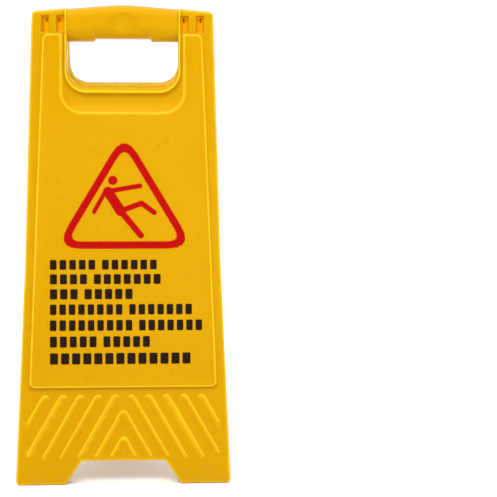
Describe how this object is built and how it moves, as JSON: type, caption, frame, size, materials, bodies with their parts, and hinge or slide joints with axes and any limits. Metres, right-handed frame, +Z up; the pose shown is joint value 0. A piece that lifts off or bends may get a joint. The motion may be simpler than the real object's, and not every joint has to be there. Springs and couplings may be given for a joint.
{
  "type": "wet floor sign",
  "caption": "Folding A-frame wet floor sign: two hinged moulded plastic panels with a grip bar over a hand opening, a warning triangle, message bars and notched feet.",
  "frame": {"origin": "on the floor, under the middle of the open sign", "axes": "+Z up; the front panel faces -Y and the rear panel +Y; +X to the right of someone who looks at the front panel, along the hinge axis"},
  "size_m": [0.2746, 0.302, 0.6015],
  "materials": {
    "yellow_plastic": "moulded yellow polypropylene, satin gloss with a fine moulded grain",
    "red_ink": "screen-printed red ink, satin",
    "black_ink": "screen-printed black ink, satin"
  },
  "bodies": {
    "front": {"front_panel": "yellow_plastic", "left_hinge_pin": "yellow_plastic", "right_hinge_pin": "yellow_plastic", "front_warning_triangle": "red_ink", "front_figure_head": "red_ink", "front_figure_body": "red_ink", "front_message_line_1": "black_ink", "front_message_line_2": "black_ink", "front_message_line_3": "black_ink", "front_message_line_4": "black_ink", "front_message_line_5": "black_ink", "front_message_line_6": "black_ink", "front_message_line_7": "black_ink"},
    "rear": {"rear_panel": "yellow_plastic", "rear_warning_triangle": "red_ink", "rear_figure_head": "red_ink", "rear_figure_body": "red_ink", "rear_message_line_1": "black_ink", "rear_message_line_2": "black_ink", "rear_message_line_3": "black_ink", "rear_message_line_4": "black_ink", "rear_message_line_5": "black_ink", "rear_message_line_6": "black_ink", "rear_message_line_7": "black_ink"}
  },
  "joints": [
    {"name": "fold", "type": "hinge", "parent": "front", "child": "rear", "pos_m": [0, 0, 0.57982], "axis": [1, 0, 0], "range_deg": [-26, 0]}
  ]
}
